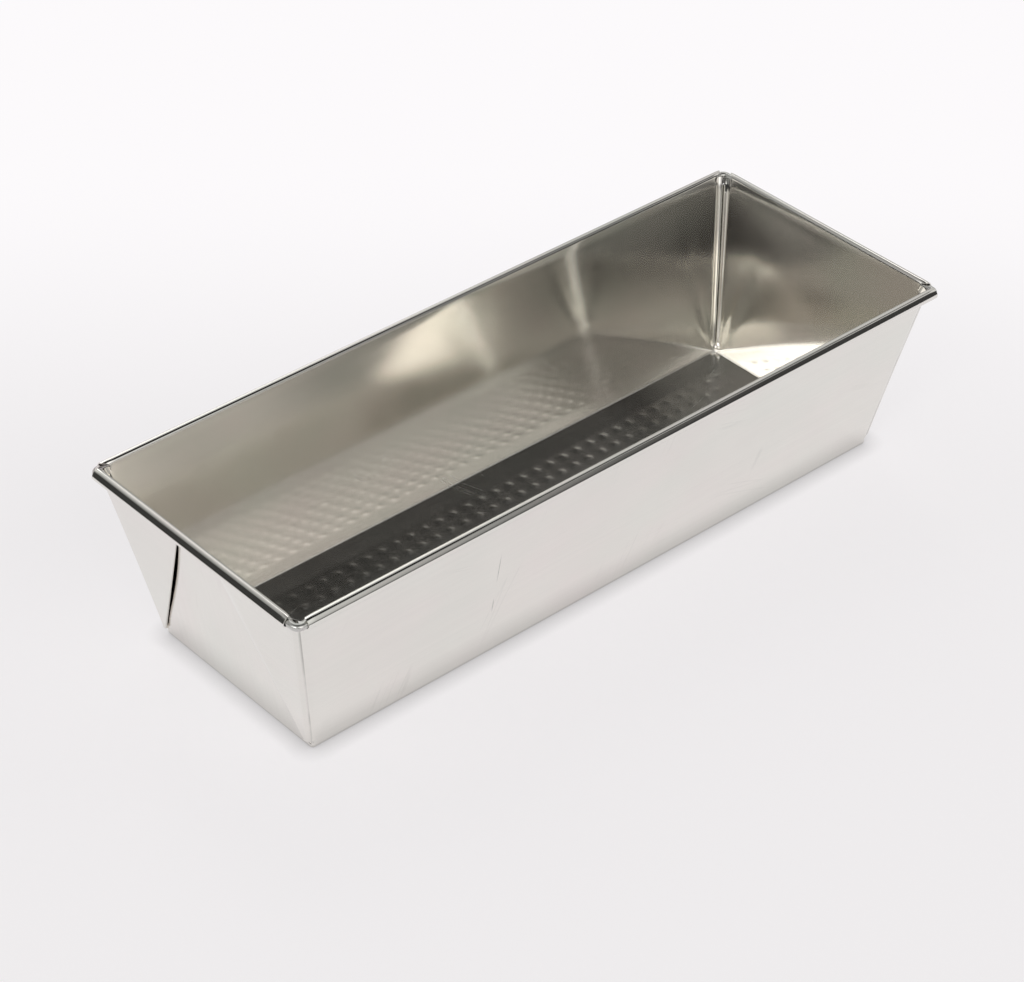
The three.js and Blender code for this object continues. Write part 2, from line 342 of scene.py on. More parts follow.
class MidSheet:
    """The middle of the sheet: points, their outward normals, and their places on the flat blank."""

    def __init__(self):
        self.points = []
        self.normals = []
        self.blank = []
        self.faces = []
        self.known = {}

    def add(self, point, normal, blank):
        self.points.append(point)
        self.normals.append(normal)
        self.blank.append(blank)
        return len(self.points) - 1

    def weld(self, place):
        """The number of a place, which is the same for places that coincide."""
        key = tuple(round(c / SAME_POINT) for c in place[0])
        if key not in self.known:
            self.known[key] = self.add(*place)
        return self.known[key]

    def band(self, rows):
        """Faces between rows that run round the pan, with their outer side out."""
        numbered = [[place and self.weld(place) for place in row] for row in rows]
        for lower, upper in zip(numbered, numbered[1:]):
            for column, start in enumerate(lower):
                after = (column + 1) % len(lower)
                corners = (start, upper[column], upper[after], lower[after])
                if None in corners:
                    continue
                face = tuple(dict.fromkeys(corners))
                if len(face) > 2:
                    self.faces.append(face)
        return numbered

    def thickened(self, thickness):
        """Points and faces of the solid sheet: both sides, and a strip along each open edge."""
        middle = np.array(self.points)
        offset = np.array(self.normals) * (thickness / 2)
        points = np.concatenate((middle + offset, middle - offset))
        inner = len(middle)
        edges = [edge for face in self.faces for edge in zip(face, face[1:] + face[:1])]
        known = set(edges)
        strips = [
            (end, start, start + inner, end + inner)
            for start, end in edges
            if (end, start) not in known
        ]
        inside = [tuple(corner + inner for corner in reversed(face)) for face in self.faces]
        return points, [*self.faces, *inside, *strips]


class PanShape:
    """The form of the pan, worked out from its sizes."""

    def __init__(self, sheet, rim):
        self.sheet = sheet
        self.rim = rim
        half = sheet.thickness / 2
        self.hem_radius = rim.wire_diameter / 2 + rim.wire_clearance + half
        self.wire_height = sheet.height - rim.wire_drop
        self.notch_height = self.wire_height - self.hem_radius - half - rim.wire_clearance
        self.corner_top = sheet.height - sheet.corner_drop

        rise = self.wire_height - sheet.thickness
        end_run = (sheet.inside_top_length - sheet.inside_base_length) / 2
        long_run = (sheet.inside_top_width - sheet.inside_base_width) / 2
        self.end_flare = math.atan2(end_run, rise)
        self.long_flare = math.atan2(long_run, rise)
        self.mean_flare = (self.end_flare + self.long_flare) / 2

        self.floor_bend = sheet.floor_bend_radius + half
        self.bend_top = half + self.floor_bend * (1 - math.sin(self.mean_flare))

        self.layer_step = sheet.thickness + sheet.flap_gap
        self.crease_fold = self.layer_step / 2
        self.inner_fold = sheet.fold_radius + half
        self.outer_fold = self.inner_fold + self.layer_step
        end_wall_edge = math.atan2(long_run, math.hypot(rise, end_run))
        long_wall_edge = math.atan2(end_run, math.hypot(rise, long_run))
        half_gusset = (RIGHT_ANGLE - end_wall_edge - long_wall_edge) / 2
        crease_lean = half_gusset - end_wall_edge
        slope = math.tan(end_wall_edge) + math.tan(crease_lean)
        self.flap_slope = slope / math.cos(self.end_flare)

        end_rim_flare = math.atan2(end_run + 2 * sheet.end_spring, rise)
        long_rim_flare = math.atan2(long_run + 2 * sheet.long_spring, rise)
        self.wire_x = self.end_wall(self.wire_height) + self.hem_radius / math.cos(end_rim_flare)
        self.wire_y = self.long_wall(self.wire_height) + self.hem_radius / math.cos(long_rim_flare)
        self.end_hem = HemProfile(
            rim, self.hem_radius, half, end_rim_flare, rim.end_face_drop, rim.end_nose_radius).rows
        self.long_hem = HemProfile(
            rim, self.hem_radius, half, long_rim_flare, rim.long_face_drop, rim.long_nose_radius).rows

        notch = self.corner_fold(self.notch_height, 0.0)
        corner_x = notch[0][0]
        corner_y = notch[-1][1]
        self.corner_columns = len(notch)
        wire_bend = rim.wire_corner_radius
        self.long_hem_end = min(self.wire_x - wire_bend, corner_x) - rim.hem_setback
        self.end_hem_end = min(self.wire_y - wire_bend, corner_y) - rim.hem_setback
        self.long_inset = corner_x - self.long_hem_end
        self.end_inset = corner_y - self.end_hem_end

    def end_wall(self, z):
        """Mid-sheet distance of an end wall from the middle of the pan."""
        return self.wall(z, self.sheet.inside_base_length, self.end_flare, self.sheet.end_spring)

    def long_wall(self, z):
        """Mid-sheet distance of a long wall from the middle of the pan."""
        return self.wall(z, self.sheet.inside_base_width, self.long_flare, self.sheet.long_spring)

    def wall(self, z, base_size, flare, spring):
        """Mid-sheet distance from the middle of the pan, for a wall that flares and has sprung outwards."""
        thickness = self.sheet.thickness
        foot = base_size / 2 + thickness / 2 / math.cos(flare)
        rim_share = (z - thickness) / (self.wire_height - thickness)
        return foot + (z - thickness) * math.tan(flare) + spring * rim_share ** 2

    def leant(self, points):
        """Points of the pan, moved sideways the more the higher they are."""
        points = np.array(points)
        points[:, :2] += np.outer(points[:, 2] / self.sheet.height, self.sheet.lean)
        return points.tolist()

    def corner_radius(self, z):
        """Mid-sheet radius of the round corner, which widens from the floor to the rim."""
        low = self.sheet.floor_corner_radius + self.floor_bend * math.cos(self.mean_flare)
        high = self.sheet.rim_corner_radius + self.sheet.thickness / 2
        return lerp(low, high, (z - self.bend_top) / (self.wire_height - self.bend_top))

    def corner_fold(self, z, flap_lift):
        """One corner in plan.

        Halfway round the corner the sheet leaves through a slit, turns round the end wall's edge, runs
        along the outside of the end wall to the crease, and comes back the same way.
        """
        closed = smoothstep(self.bend_top, self.sheet.fold_closed_height, z)
        radius = self.corner_radius(z)
        corner_room = sideways(radius) - self.inner_fold * math.sin(HALF_CORNER)
        inner_root = max(0.0, self.layer_step - self.inner_fold + corner_room)
        outer_root = inner_root + self.inner_fold
        reach = self.flap_slope * (z - self.sheet.thickness) - sideways(radius + self.inner_fold)
        depth = max(0.0, reach - self.outer_fold - self.crease_fold)

        pen = FoldPen()
        pen.bend(radius, -HALF_CORNER, CORNER_STEPS)
        pen.bend(self.inner_fold, HALF_CORNER * closed, LIP_STEPS)
        pen.forward(outer_root * closed)
        pen.bend(self.outer_fold, -RIGHT_ANGLE * closed, FLAP_BEND_STEPS)
        pen.forward(depth, FLAP_COLUMNS, 0.0, 1.0)
        pen.bend(self.crease_fold, -2 * RIGHT_ANGLE * closed, CREASE_STEPS, 1.0)
        pen.forward(depth, FLAP_COLUMNS, 1.0, 0.0)
        pen.bend(self.inner_fold, RIGHT_ANGLE * closed, FLAP_BEND_STEPS)
        pen.forward(inner_root * closed)
        pen.bend(self.inner_fold, (RIGHT_ANGLE + HALF_CORNER) * closed, ROOT_LIP_STEPS)
        pen.bend(radius, -HALF_CORNER, CORNER_STEPS)
        shift_x = self.end_wall(z) - pen.x
        shift_y = self.long_wall(z)
        return [
            (x + shift_x + flap_lift * share * share, y + shift_y, nx, ny)
            for x, y, nx, ny, share in pen.points
        ]

    def flap_lift(self, quarter, z):
        """How far a flap's crease stands off at a height: closed at the base and under the hem."""
        share = (z - self.bend_top) / (self.notch_height - self.bend_top)
        return quarter.flap_lift * math.sin(math.pi * min(max(share, 0.0), 1.0) ** FLAP_GAP_POWER)

    def quarter_plan(self, quarter, z):
        """A quarter of the pan in plan, from the middle of a long wall to the middle of an end wall."""
        corner = self.corner_fold(z, self.flap_lift(quarter, z))
        first_x, first_y, *first_normal = corner[0]
        last_x, last_y, *last_normal = corner[-1]
        along = graded(first_x - self.long_inset, LONG_STEPS)
        across = graded(last_y - self.end_inset, END_STEPS)[::-1]

        def long_bow(x):
            wave = self.wave(quarter.sign_x * x, z, quarter.sign_y)
            return wave + sum(dent.at(first_x - x, z) for dent in LONG_WALL_DENTS)

        def end_bow(y):
            wave = self.wave(quarter.sign_y * y, z, 2 * quarter.sign_x)
            bow = END_WALL_BOW * self.mid_height(z) * math.cos(y / last_y * RIGHT_ANGLE)
            return wave + bow + sum(dent.at(last_y - y, z) for dent in END_WALL_DENTS)

        return [
            *((x, first_y + long_bow(x), *first_normal) for x in along),
            *corner,
            *((last_x + end_bow(y), y, *last_normal) for y in across),
        ]

    def wave(self, along, z, turn):
        """How far a wall that isn't quite flat bows out, from nothing at the floor and under the hem."""
        return WAVE_DEPTH * self.mid_height(z) * math.sin(along / WAVE_LENGTH * 2 * math.pi + turn)

    def mid_height(self, z):
        """Goes from nothing at the floor to one halfway up a wall, and back to nothing under the hem."""
        share = (z - self.bend_top) / (self.notch_height - self.bend_top)
        return math.sin(math.pi * min(max(share, 0.0), 1.0))

    def blank_place(self, x, y, up, on_end, crease=0.0):
        """Where a point lay on the flat blank, and whether it has been creased since."""
        if on_end:
            return self.sheet.inside_base_length / 2 + up, y, crease
        return x, self.sheet.inside_base_width / 2 + up, crease

    def bend_row(self, tilt):
        """A row of the floor bend. Its normal's tilt goes from a right angle at the floor to the flare."""
        inward = self.floor_bend * (math.cos(tilt) - math.cos(self.mean_flare))
        z = self.sheet.thickness / 2 + self.floor_bend * (1 - math.sin(tilt))

        def quarter_row(quarter):
            plan = self.quarter_plan(quarter, self.bend_top)
            row = []
            for column, (x, y, nx, ny) in enumerate(plan):
                point = (x + nx * inward, y + ny * inward, z)
                normal = (nx * math.cos(tilt), ny * math.cos(tilt), -math.sin(tilt))
                row.append((point, normal, self.blank_place(x, y, z, self.on_end(column))))
            return row

        return self.ring(quarter_row)

    def on_end(self, column):
        """Whether a column of a quarter belongs to the end wall rather than the long wall."""
        return column > LONG_COLUMNS + self.corner_columns // 2

    def crease(self, column):
        """One where a wall leaves the round corner for its flap, and nothing elsewhere."""
        first = LONG_COLUMNS + 1 + CORNER_STEPS
        return float(first < column <= first + LIP_STEPS)

    def wall_row(self, z, corner_only=False):
        """A row of the walls and flaps. Each normal is square to the way that the leaning walls rise.

        With corner_only it keeps the two halves of the round corner, which rise beside the wire's bend,
        are pushed out to it and close up.
        """
        risen = (z - self.notch_height) / (self.corner_top - self.notch_height) if corner_only else 0.0
        near_edge = LONG_COLUMNS
        near_slit = LONG_COLUMNS + 1 + CORNER_STEPS
        far_slit = LONG_COLUMNS + self.corner_columns - CORNER_STEPS
        far_edge = far_slit + CORNER_STEPS + 1

        def quarter_row(quarter):
            row = []
            plan = self.quarter_plan(quarter, z)
            slit_x = (plan[near_slit][0] + plan[far_slit][0]) / 2
            slit_y = (plan[near_slit][1] + plan[far_slit][1]) / 2
            for column, (x, y, nx, ny) in enumerate(plan):
                in_corner = near_edge <= column <= near_slit or far_slit <= column <= far_edge
                if corner_only and not in_corner:
                    row.append(None)
                    continue
                lean = nx * math.tan(self.end_flare) + ny * math.tan(self.long_flare)
                normal = Vector((nx, ny, -lean)).normalized()
                push = 0.0 if column in (near_edge, far_edge) else CORNER_PUSH * risen
                if column in (near_slit, far_slit):
                    x = lerp(x, slit_x, min(risen / SLIT_CLOSED, 1.0))
                    y = lerp(y, slit_y, min(risen / SLIT_CLOSED, 1.0))
                place = (x + push, y + push, z)
                blank = self.blank_place(x, y, z, self.on_end(column), self.crease(column))
                row.append((place, tuple(normal), blank))
            return row

        return self.ring(quarter_row)

    def hem_row(self, number):
        """A row of the hems, folded outwards over the wire. The corners have none."""
        blank_up = self.wire_height + number * self.hem_radius / HEM_TOP_STEPS

        def half_hem(profile, hem_end, overhang, steps):
            """Half a hem from its middle: places along it, out from the wire and up, and its normal."""
            across, rise, facing_out, facing_up, share = profile[number]
            reach = hem_end + overhang * share
            for along in graded(reach, steps):
                grip = self.crimp(across, rise, reach - along)
                yield along, across * grip, self.wire_height + rise * grip, -facing_out, -facing_up

        def quarter_row(quarter):
            long_half = half_hem(self.long_hem, self.long_hem_end, quarter.long_overhang, LONG_STEPS)
            end_half = half_hem(self.end_hem, self.end_hem_end, quarter.end_overhang, END_STEPS)
            long_hem = [
                ((x, self.wire_y + out, z), (0.0, ny, nz),
                 self.blank_place(x, self.wire_y, blank_up, False))
                for x, out, z, ny, nz in long_half
            ]
            end_hem = [
                ((self.wire_x + out, y, z), (nx, 0.0, nz),
                 self.blank_place(self.wire_x, y, blank_up, True))
                for y, out, z, nx, nz in end_half
            ]
            return [*long_hem, *[None] * self.corner_columns, *end_hem[::-1]]

        return self.ring(quarter_row)

    def crimp(self, across, rise, from_end):
        """How far a hem is drawn in to the wire, which it grips near its ends."""
        gripped = CRIMP_SHARE * (1 - smoothstep(0.0, CRIMP_LENGTH, from_end))
        return lerp(1.0, self.hem_radius / math.hypot(across, rise), gripped)

    def ring(self, quarter_row):
        """Mirrors each quarter's row into its place in a ring round the pan."""
        ring = []
        for quarter in QUARTERS:
            mirror = (quarter.sign_x, quarter.sign_y, 1)
            row = [
                place and tuple(tuple(c * s for c, s in zip(part, mirror)) for part in place)
                for place in quarter_row(quarter)
            ]
            ring.extend((row[::-1] if quarter.reversed else row)[:-1])
        return ring

    def wire_path(self):
        """The wire's centreline, clockwise from one butt end to the other."""
        bend = self.rim.wire_corner_radius
        path = [(self.rim.wire_butt_gap / 2, self.wire_y, self.wire_height)]
        for number, quarter in enumerate(QUARTERS):
            start = RIGHT_ANGLE * (1 - number)
            for outward in spread(start, start - RIGHT_ANGLE, WIRE_CORNER_STEPS):
                x = quarter.sign_x * (self.wire_x - bend) + bend * math.cos(outward)
                y = quarter.sign_y * (self.wire_y - bend) + bend * math.sin(outward)
                path.append((x, y, self.wire_height))
        path.append((-self.rim.wire_butt_gap / 2, self.wire_y, self.wire_height))
        return path


class Value:
    """A number that a node tree works out. Sums, differences and products add their Math nodes."""

    def __init__(self, graph, socket):
        self.graph = graph
        self.socket = socket

    def __add__(self, other):
        return self.graph.math("ADD", self, other)

    def __radd__(self, other):
        return self.graph.math("ADD", other, self)

    def __sub__(self, other):
        return self.graph.math("SUBTRACT", self, other)

    def __rsub__(self, other):
        return self.graph.math("SUBTRACT", other, self)

    def __mul__(self, other):
        return self.graph.math("MULTIPLY", self, other)

    def __rmul__(self, other):
        return self.graph.math("MULTIPLY", other, self)

    def __truediv__(self, other):
        return self.graph.math("DIVIDE", self, other)


class Graph:
    """A node tree that is written as expressions."""

    def __init__(self, tree):
        self.tree = tree

    def node(self, kind, settings=None, inputs=None):
        """A node of a kind, with its settings made first and then its sockets given or linked."""
        made = self.tree.nodes.new(kind)
        for name, setting in (settings or {}).items():
            if name == "stops":
                self.set_stops(made.color_ramp.elements, setting)
            else:
                setattr(made, name, setting)
        for name, given in (inputs or {}).items():
            self.feed(made.inputs[name], given)
        return made

    def set_stops(self, elements, stops):
        while len(elements) < len(stops):
            elements.new(1.0)
        for element, (position, colour) in zip(elements, stops):
            element.position = position
            element.color = colour

    def feed(self, socket, given):
        if isinstance(given, Value):
            given = given.socket
        if isinstance(given, bpy.types.NodeSocket):
            self.tree.links.new(given, socket)
        else:
            socket.default_value = given

    def math(self, operation, *terms):
        made = self.node("ShaderNodeMath", {"operation": operation}, dict(enumerate(terms)))
        return Value(self, made.outputs[0])

    def value(self, kind, settings=None, inputs=None, output=0):
        """The output of a new node as a value."""
        return Value(self, self.node(kind, settings, inputs).outputs[output])

    def parts(self, vector):
        """The three parts of a vector as values."""
        split = self.node("ShaderNodeSeparateXYZ", inputs={0: vector})
        return [Value(self, output) for output in split.outputs]

    def fade(self, value, start, end, start_level=0.0, end_level=1.0):
        """Goes smoothly from one level to another while a value goes from a start to an end."""
        return self.value("ShaderNodeMapRange", {"interpolation_type": "SMOOTHSTEP"}, {
            "Value": value, "From Min": start, "From Max": end,
            "To Min": start_level, "To Max": end_level})

    def near(self, value, middle, reach):
        """One where a value is at the middle, and nothing beyond the reach."""
        return self.fade(self.math("ABSOLUTE", value - middle), 0.0, reach, 1.0, 0.0)

    def noise(self, vector, scale, detail=2.0):
        """Noise with its own scale along each axis, from about -0.5 to 0.5."""
        scaled = self.node("ShaderNodeVectorMath", {"operation": "MULTIPLY"}, {0: vector, 1: scale})
        return self.value("ShaderNodeTexNoise", inputs={
            "Vector": scaled.outputs[0], "Scale": 1.0, "Detail": detail}) - 0.5

    def shaded(self, colour, level):
        """A colour with its brightness scaled."""
        made = self.node("ShaderNodeVectorMath", {"operation": "SCALE"}, {0: colour, "Scale": level})
        return made.outputs[0]


class ShapeGraph(Graph):
    """A Geometry Nodes tree with named inputs."""

    def __init__(self, name):
        super().__init__(bpy.data.node_groups.new(name, "GeometryNodeTree"))
        self.source = self.tree.nodes.new("NodeGroupInput")
        self.target = self.tree.nodes.new("NodeGroupOutput")
        self.sockets = {}
        self.tree.interface.new_socket("Geometry", in_out="OUTPUT", socket_type="NodeSocketGeometry")

    def input(self, name, kind):
        socket = self.tree.interface.new_socket(name, in_out="INPUT", socket_type=kind)
        self.sockets[name] = socket.identifier
        return Value(self, self.source.outputs[name])

    def finish(self, geometry, material):
        """Ends the tree with real, smooth faces of one material."""
        smooth = self.node("GeometryNodeSetShadeSmooth", inputs={"Geometry": geometry})
        real = self.node("GeometryNodeRealizeInstances", inputs={"Geometry": smooth.outputs[0]})
        dressed = self.node(
            "GeometryNodeSetMaterial", inputs={"Geometry": real.outputs[0], "Material": material})
        self.tree.links.new(dressed.outputs[0], self.target.inputs[0])

    def mesh(self, base, values):
        """The mesh that the tree makes of an object with these input values."""
        maker = base.modifiers.new(self.tree.name, "NODES")
        maker.node_group = self.tree
        for name, value in values.items():
            maker[self.sockets[name]] = value
        depsgraph = bpy.context.evaluated_depsgraph_get()
        made = bpy.data.meshes.new_from_object(
            base.evaluated_get(depsgraph), preserve_all_data_layers=True, depsgraph=depsgraph)
        base.modifiers.clear()
        return made


def embossed_field_graph():
    """Round dots on a square grid, each on a square tile that meets its neighbours."""
    graph = ShapeGraph("Embossed field")
    pitch = graph.input("Pitch", "NodeSocketFloat")
    width = graph.input("Dot Width", "NodeSocketFloat")
    height = graph.input("Dot Height", "NodeSocketFloat")
    columns = graph.input("Columns", "NodeSocketInt")
    rows = graph.input("Rows", "NodeSocketInt")
    level = graph.input("Floor Level", "NodeSocketFloat")
    material = graph.input("Material", "NodeSocketMaterial")

    # A strip that is rolled up into a tile: its length goes round the dot, and its width outwards
    strip = graph.node("GeometryNodeMeshGrid", inputs={
        "Size X": 1.0, "Size Y": 1.0, "Vertices X": DOT_SIDES + 1, "Vertices Y": DOT_RINGS + 2})
    along, outwards, _ = graph.parts(graph.node("GeometryNodeInputPosition").outputs[0])
    angle = (0.5 - along) * (2 * math.pi)
    ring = (outwards + 0.5) * (DOT_RINGS + 1)
    cosine = graph.math("COSINE", angle)
    sine = graph.math("SINE", angle)
    share = graph.math("MINIMUM", ring / DOT_RINGS, 1.0)
    beyond = graph.math("MAXIMUM", ring - DOT_RINGS, 0.0)
    square = graph.math("MAXIMUM", graph.math("ABSOLUTE", cosine), graph.math("ABSOLUTE", sine))
    dot_radius = width * 0.5
    radius = dot_radius * share + beyond * (pitch * 0.5 / square - dot_radius)
    slope = graph.math("COSINE", share * RIGHT_ANGLE)
    tile_place = graph.node("ShaderNodeCombineXYZ", inputs={
        "X": radius * cosine, "Y": radius * sine, "Z": height * slope * slope})
    tile = graph.node("GeometryNodeSetPosition", inputs={
        "Geometry": strip.outputs["Mesh"], "Position": tile_place.outputs[0]})
    closed_tile = graph.node("GeometryNodeMergeByDistance", inputs={
        "Geometry": tile.outputs[0], "Distance": MERGE_REACH})

    # The tiles side by side
    lattice = graph.node("GeometryNodeMeshGrid", inputs={
        "Size X": (columns - 1) * pitch, "Size Y": (rows - 1) * pitch,
        "Vertices X": columns, "Vertices Y": rows})
    tiles = graph.node("GeometryNodeInstanceOnPoints", inputs={
        "Points": lattice.outputs["Mesh"], "Instance": closed_tile.outputs[0]})
    real = graph.node("GeometryNodeRealizeInstances", inputs={"Geometry": tiles.outputs[0]})
    field = graph.node("GeometryNodeMergeByDistance", inputs={
        "Geometry": real.outputs[0], "Distance": MERGE_REACH})
    upwards = graph.node("ShaderNodeCombineXYZ", inputs={"Z": level})
    laid = graph.node("GeometryNodeSetPosition", inputs={
        "Geometry": field.outputs[0], "Offset": upwards.outputs[0]})
    graph.finish(laid.outputs[0], material)
    return graph


def swept_wire_graph():
    """A round wire along the edges of a mesh."""
    graph = ShapeGraph("Swept wire")
    path = graph.input("Path", "NodeSocketGeometry")
    diameter = graph.input("Diameter", "NodeSocketFloat")
    sides = graph.input("Sides", "NodeSocketInt")
    material = graph.input("Material", "NodeSocketMaterial")
    curve = graph.node("GeometryNodeMeshToCurve", inputs={"Mesh": path})
    section = graph.node("GeometryNodeCurvePrimitiveCircle", inputs={
        "Resolution": sides, "Radius": diameter * 0.5})
    tube = graph.node("GeometryNodeCurveToMesh", inputs={
        "Curve": curve.outputs[0], "Profile Curve": section.outputs["Curve"], "Fill Caps": True})
    graph.finish(tube.outputs[0], material)
    return graph


def new_object(name, data):
    made = bpy.data.objects.new(name, data)
    bpy.context.scene.collection.objects.link(made)
    return made


def new_material(name):
    """A material with nothing but its output in its node tree, the tree's graph, and the output."""
    material = bpy.data.materials.new(name)
    material.use_nodes = True
    material.node_tree.nodes.clear()
    graph = Graph(material.node_tree)
    target = graph.node("ShaderNodeOutputMaterial")
    return material, graph, target


# Where the ramps of blotched colours start, have their middle and end
REDDER_STOP, PLAIN_STOP, GREENER_STOP = 0.3, 0.5, 0.7


def blotched(colour, warm):
    """Stops of a ramp about a colour, from a little redder to a little greener."""
    red, green, blue = colour
    return [
        (REDDER_STOP, (red * (1 + warm), green * (1 - warm), blue, 1.0)),
        (PLAIN_STOP, (red, green, blue, 1.0)),
        (GREENER_STOP, (red * (1 - warm), green * (1 + warm / 2), blue, 1.0)),
    ]


class Mark(NamedTuple):
    """What a kind of mark does to a metal: how far it shades it, and how far it dulls it."""

    shade: float
    dulling: float


# How deep the relief of both metals is taken to be
RELIEF_DEPTH = 0.05 * MM

# Marks of the tinplate, and how often they repeat in a metre along each axis
STREAKS, STREAK_SCALE = Mark(0.05, 0.03), (5.0, 620.0, 1.0)
CLOUDS, CLOUD_SCALE = Mark(0.05, 0.04), (34.0, 34.0, 34.0)
BLOTCH_WARMTH, BLOTCH_SCALE = 0.012, (16.0, 27.0, 1.0)
TIN_RELIEF = 0.03

# The pan's floor, which the pressing has dulled: painted shade that darkens its colour, and the heights
# between which its painted shade and dulled finish end
FLOOR_PAINTED_SHADE = 0.15
FLOOR_DULL_BELOW, FLOOR_BRIGHT_ABOVE = 0.9 * MM, 1.6 * MM

# Painted shade along the crease beside each slit, stronger in some places than in others
CREASE_SHADE_PATCH_SCALE = (90.0, 90.0, 60.0)
CREASE_SHADE_PATCH_LOW, CREASE_SHADE_PATCH_HIGH = -0.12, 0.1
LEAST_CREASE_SHADE, MOST_CREASE_SHADE = 0.12, 0.4

# Fine scratches: the two ways that they run in degrees, and the share of the second
HAIRLINES, HAIRLINE_SCALE = Mark(0.06, 0.05), (5.0, 150.0, 1.0)
HAIRLINE_REACH = 0.014
HAIRLINE_PATCH_SCALE = (26.0, 34.0, 1.0)
HAIRLINE_PATCH_LOW, HAIRLINE_PATCH_HIGH = 0.08, 0.2
FIRST_TURN, SECOND_TURN, SECOND_SHARE = 72, -18, 0.7

# A deep scratch on one long wall: its place along the wall, and its two dashes as middle and reach
SCRATCH_X = -58.9 * MM
SCRATCH_REACH = 0.28 * MM
SCRATCH_DASHES = ((43.6 * MM, 8.5 * MM), (25.2 * MM, 4.5 * MM))
DEEP_SCRATCH, SCRATCH_RELIEF = Mark(0.45, 0.2), 2.0

# Marks of the wire
PATCHES, PATCH_SCALE = Mark(0.3, 0.2), (110.0, 110.0, 110.0)
GRAIN, GRAIN_SCALE = Mark(0.15, 0.1), (1500.0, 1500.0, 1500.0)
PATCH_WARMTH = 0.03
WIRE_RELIEF = 0.08


def hairlines(graph, blank, turn):
    """Fine scratches that mostly run one way over the sheet."""
    turned = graph.node("ShaderNodeVectorRotate", {"rotation_type": "Z_AXIS"}, {
        "Vector": blank, "Angle": math.radians(turn)}).outputs[0]
    lines = graph.near(graph.noise(turned, HAIRLINE_SCALE, 1.0), 0.0, HAIRLINE_REACH)
    patches = graph.noise(turned, HAIRLINE_PATCH_SCALE, 1.0)
    return lines * graph.fade(patches, HAIRLINE_PATCH_LOW, HAIRLINE_PATCH_HIGH)


def deep_scratch(graph, place):
    x, y, z = graph.parts(place)
    first, second = (graph.near(z, *dash) for dash in SCRATCH_DASHES)
    return graph.near(x, SCRATCH_X, SCRATCH_REACH) * graph.math("LESS_THAN", y, 0.0) * (first + second)


def tin_material(finish):
    """Bright tinplate: a semi-mirror with rolling streaks, clouds, blotches and scratches, with painted
    shade on the pan's floor and along the creases beside the slits.
    """
    material, graph, target = new_material("tinplate")
    blank = graph.node("ShaderNodeAttribute", {"attribute_name": "blank"}).outputs["Vector"]
    place = graph.node("ShaderNodeTexCoord").outputs["Object"]
    crease = graph.parts(blank)[2]
    height = graph.parts(place)[2]

    streaks = graph.noise(blank, STREAK_SCALE, 3.0)
    clouds = graph.noise(place, CLOUD_SCALE, 3.0)
    blotches = graph.noise(blank, BLOTCH_SCALE, 2.0)
    crease_shade_patches = graph.noise(place, CREASE_SHADE_PATCH_SCALE, 1.0)
    scratches = hairlines(graph, blank, FIRST_TURN) + hairlines(graph, blank, SECOND_TURN) * SECOND_SHARE
    deep = deep_scratch(graph, place)
    # the pan's floor gets painted shade in its colour, and the pressing's dulling in its roughness
    on_floor = graph.fade(height, FLOOR_DULL_BELOW, FLOOR_BRIGHT_ABOVE, 1.0, 0.0)

    colour = graph.node("ShaderNodeValToRGB", {"stops": blotched(finish.tin_colour, BLOTCH_WARMTH)}, {
        "Fac": blotches + 0.5})
    # painted shade along the crease beside each slit, patchy along its length
    crease_painted_shade = crease * graph.fade(crease_shade_patches, CREASE_SHADE_PATCH_LOW, CREASE_SHADE_PATCH_HIGH, LEAST_CREASE_SHADE, MOST_CREASE_SHADE)
    # painted shade darkens the pan's floor and the creases beside the slits; streaks, clouds and scratches
    # are the tin's own marks
    level = (1.0 + streaks * STREAKS.shade + clouds * CLOUDS.shade - on_floor * FLOOR_PAINTED_SHADE
             - scratches * HAIRLINES.shade - deep * DEEP_SCRATCH.shade - crease_painted_shade)
    roughness = (finish.tin_roughness + on_floor * (finish.floor_roughness - finish.tin_roughness)
                 + clouds * CLOUDS.dulling + streaks * STREAKS.dulling
                 + scratches * HAIRLINES.dulling + deep * DEEP_SCRATCH.dulling)
    relief = graph.node("ShaderNodeBump", inputs={
        "Strength": TIN_RELIEF, "Distance": RELIEF_DEPTH,
        "Height": streaks - scratches - deep * SCRATCH_RELIEF})
    shader = graph.node("ShaderNodeBsdfPrincipled", inputs={
        "Base Color": graph.shaded(colour.outputs[0], level), "Metallic": 1.0,
        "Roughness": roughness, "Normal": relief.outputs[0]})
    graph.feed(target.inputs["Surface"], shader.outputs[0])
    return material


def wire_material(finish):
    """Drawn steel wire, with a satin skin and dull patches."""
    material, graph, target = new_material("wire_steel")
    place = graph.node("ShaderNodeTexCoord").outputs["Object"]
    patches = graph.noise(place, PATCH_SCALE, 3.0)
    grain = graph.noise(place, GRAIN_SCALE, 1.0)
    colour = graph.node("ShaderNodeValToRGB", {"stops": blotched(finish.wire_colour, PATCH_WARMTH)}, {
        "Fac": patches + 0.5})
    relief = graph.node("ShaderNodeBump", inputs={
        "Strength": WIRE_RELIEF, "Distance": RELIEF_DEPTH, "Height": grain})
    level = 1.0 + patches * PATCHES.shade + grain * GRAIN.shade
    roughness = finish.wire_roughness + patches * PATCHES.dulling + grain * GRAIN.dulling
    shader = graph.node("ShaderNodeBsdfPrincipled", inputs={
        "Base Color": graph.shaded(colour.outputs[0], level), "Metallic": 1.0,
        "Roughness": roughness, "Normal": relief.outputs[0]})
    graph.feed(target.inputs["Surface"], shader.outputs[0])
    return material


def dress(piece, node):
    """Puts a finished piece on the pan's body in place of its plain node."""
    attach(piece, "root")
    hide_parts(node)


